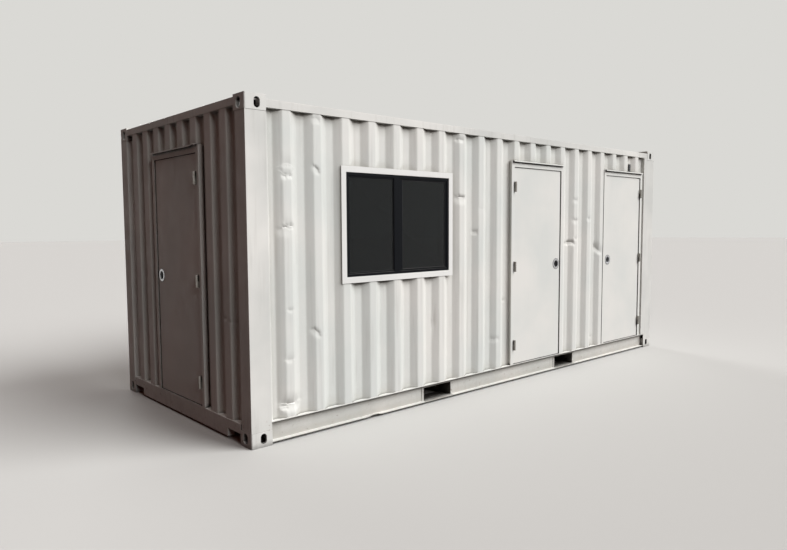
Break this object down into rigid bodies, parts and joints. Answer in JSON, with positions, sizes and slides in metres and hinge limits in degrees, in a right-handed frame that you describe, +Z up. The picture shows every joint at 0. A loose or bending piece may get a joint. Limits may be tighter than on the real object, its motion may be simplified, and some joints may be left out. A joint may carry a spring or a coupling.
{
  "type": "site container",
  "caption": "Steel shipping container made into a site hut, with personnel doors that open on turning handles, a sliding window and forklift pockets.",
  "frame": {"origin": "middle of the four bottom corner castings, at the level of their feet", "axes": "+X along the container away from the end door, +Y from the wall with the window and two doors to the plain back wall, +Z up"},
  "size_m": [6.079, 2.459, 2.591],
  "materials": {
    "frame_paint": "matt container paint, weathered",
    "wall_paint": "matt container paint, weathered",
    "door_paint": "matt container paint",
    "underside_paint": "matt underside coating, dusty",
    "floor_boards": "worn plywood",
    "hinge_steel": "dull bare steel",
    "lock_steel": "stainless",
    "handle_black": "satin black",
    "window_black": "satin black coating",
    "window_glass": "dark, reflecting",
    "vent_grey": "matt dark grey"
  },
  "bodies": {
    "container": {"corner_castings_bottom": "frame_paint", "corner_castings_top": "frame_paint", "corner_posts_left": "frame_paint", "corner_posts_right": "frame_paint", "top_side_rails": "frame_paint", "top_end_rails": "frame_paint", "bottom_side_rails": "frame_paint", "bottom_end_rails": "frame_paint", "forklift_pockets": "frame_paint", "cross_members": "underside_paint", "floor": "floor_boards", "roof": "wall_paint", "front_wall_left": "wall_paint", "front_wall_under_window": "wall_paint", "front_wall_over_window": "wall_paint", "front_wall_middle": "wall_paint", "front_wall_between_doors": "wall_paint", "front_wall_over_doors": "wall_paint", "back_wall": "wall_paint", "end_wall_beside_door": "wall_paint", "end_wall_over_door": "wall_paint", "right_end_wall": "wall_paint", "door_1_frame": "door_paint", "door_2_frame": "door_paint", "end_door_frame": "door_paint", "door_caps": "door_paint", "frame_hinges": "hinge_steel", "window_surround": "door_paint", "window_frame": "window_black", "window_sash": "window_black", "window_glass": "window_glass", "wall_vent": "vent_grey"},
    "door_1": {"door_1_leaf": "door_paint", "door_1_hinges": "hinge_steel", "door_1_lock_dish": "lock_steel"},
    "door_2": {"door_2_leaf": "door_paint", "door_2_hinges": "hinge_steel", "door_2_lock_dish": "lock_steel"},
    "end_door": {"end_door_leaf": "door_paint", "end_door_hinges": "hinge_steel", "end_door_lock_dish": "lock_steel"},
    "door_1_turn": {"door_1_handle": "handle_black"},
    "door_2_turn": {"door_2_handle": "handle_black"},
    "end_door_turn": {"end_door_handle": "handle_black"}
  },
  "joints": [
    {"name": "door_1_hinge", "type": "hinge", "parent": "container", "child": "door_1", "pos_m": [0.063, -1.229, 1.208], "axis": [0, 0, -1], "range_deg": [0, 115]},
    {"name": "door_2_hinge", "type": "hinge", "parent": "container", "child": "door_2", "pos_m": [2.68, -1.229, 1.208], "axis": [0, 0, 1], "range_deg": [0, 115]},
    {"name": "end_door_hinge", "type": "hinge", "parent": "container", "child": "end_door", "pos_m": [-3.039, -0.414, 1.199], "axis": [0, 0, 1], "range_deg": [0, 115]},
    {"name": "door_1_handle_turn", "type": "hinge", "parent": "door_1", "child": "door_1_turn", "pos_m": [0.822, -1.212, 1.208], "axis": [0, 1, 0], "range_deg": [0, 90]},
    {"name": "door_2_handle_turn", "type": "hinge", "parent": "door_2", "child": "door_2_turn", "pos_m": [1.921, -1.212, 1.208], "axis": [0, 1, 0], "range_deg": [0, 90]},
    {"name": "end_door_handle_turn", "type": "hinge", "parent": "end_door", "child": "end_door_turn", "pos_m": [-3.02, 0.345, 1.208], "axis": [1, 0, 0], "range_deg": [0, 90]}
  ]
}
